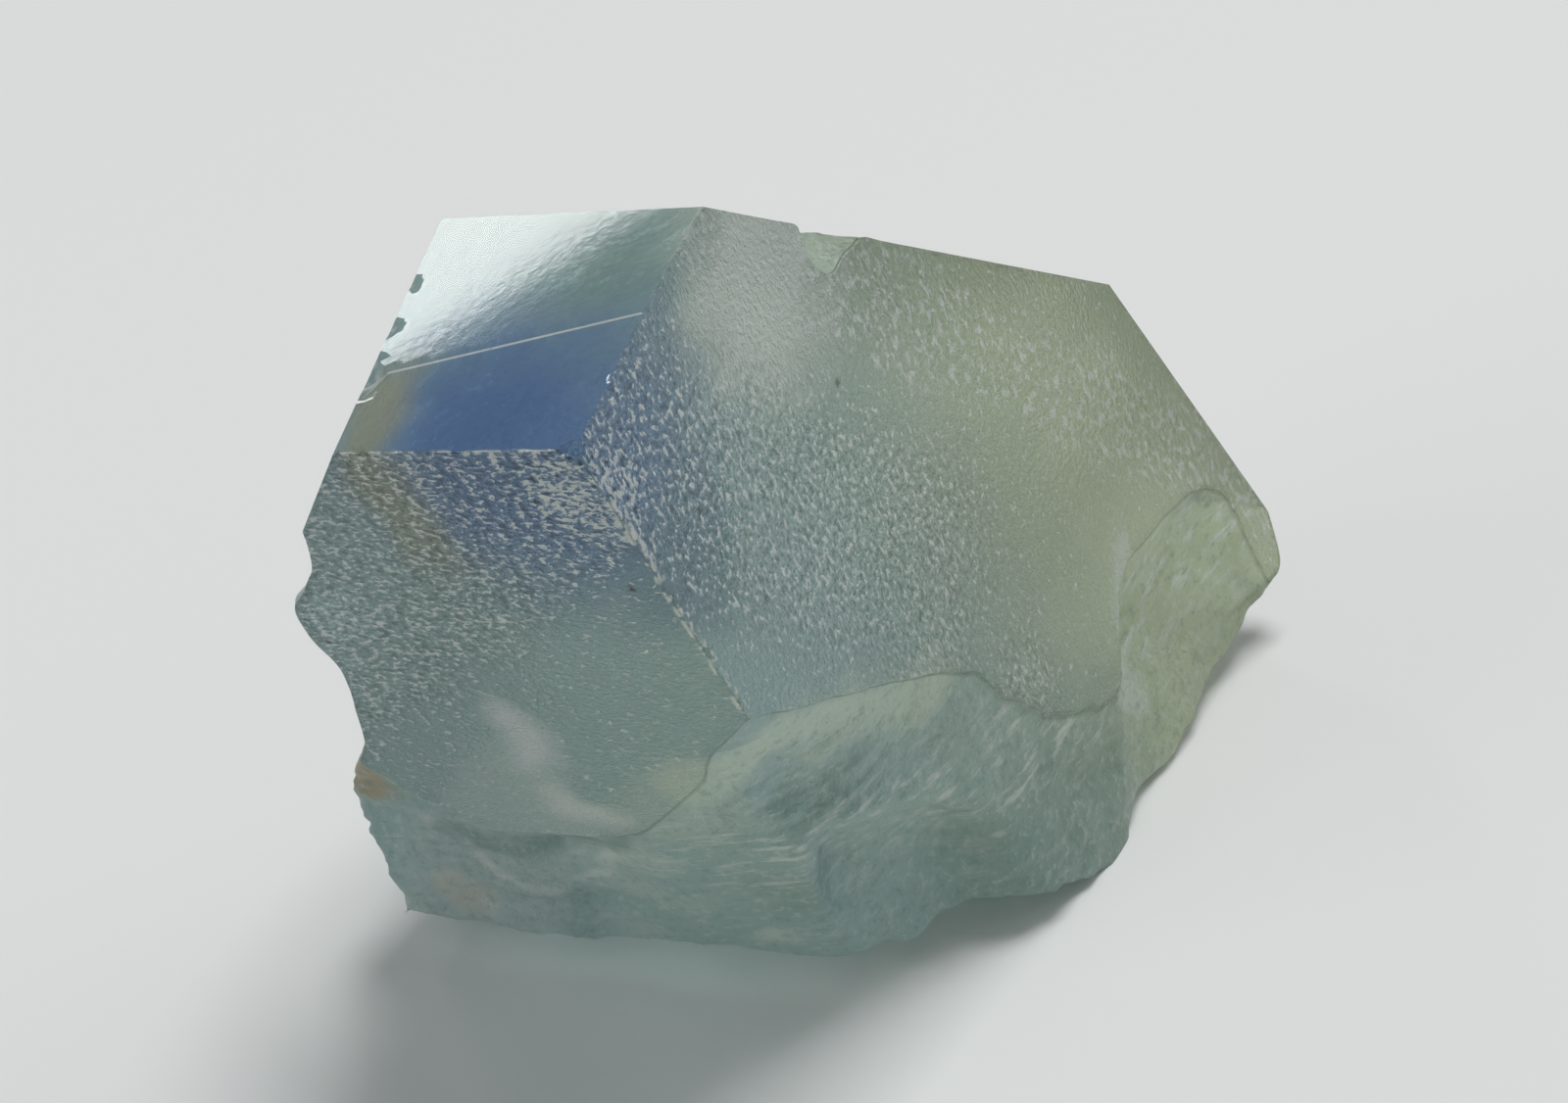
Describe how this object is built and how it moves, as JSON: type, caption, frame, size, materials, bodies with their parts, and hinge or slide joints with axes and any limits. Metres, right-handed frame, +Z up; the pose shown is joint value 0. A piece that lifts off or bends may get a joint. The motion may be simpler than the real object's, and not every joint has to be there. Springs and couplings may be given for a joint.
{
  "type": "fluorite crystal",
  "caption": "Broken-off corner of a pale green fluorite cube: a smooth top face, frosted front and right faces that meet in a point, and shell-like breaks all round.",
  "frame": {"origin": "middle of the bounding box at its underside, on the surface the stone rests on", "axes": "+Z up as the stone rests, +X to the right and -Y towards the viewer, with the cube corner pointing up at the viewer"},
  "size_m": [0.0562, 0.0528, 0.0519],
  "materials": {
    "fluorite": "translucent pale green with blue and yellow zones, smooth on the top face, etched on the front and right faces and glassy on the breaks"
  },
  "bodies": {
    "root": {"fluorite_crystal": "fluorite"}
  },
  "joints": []
}
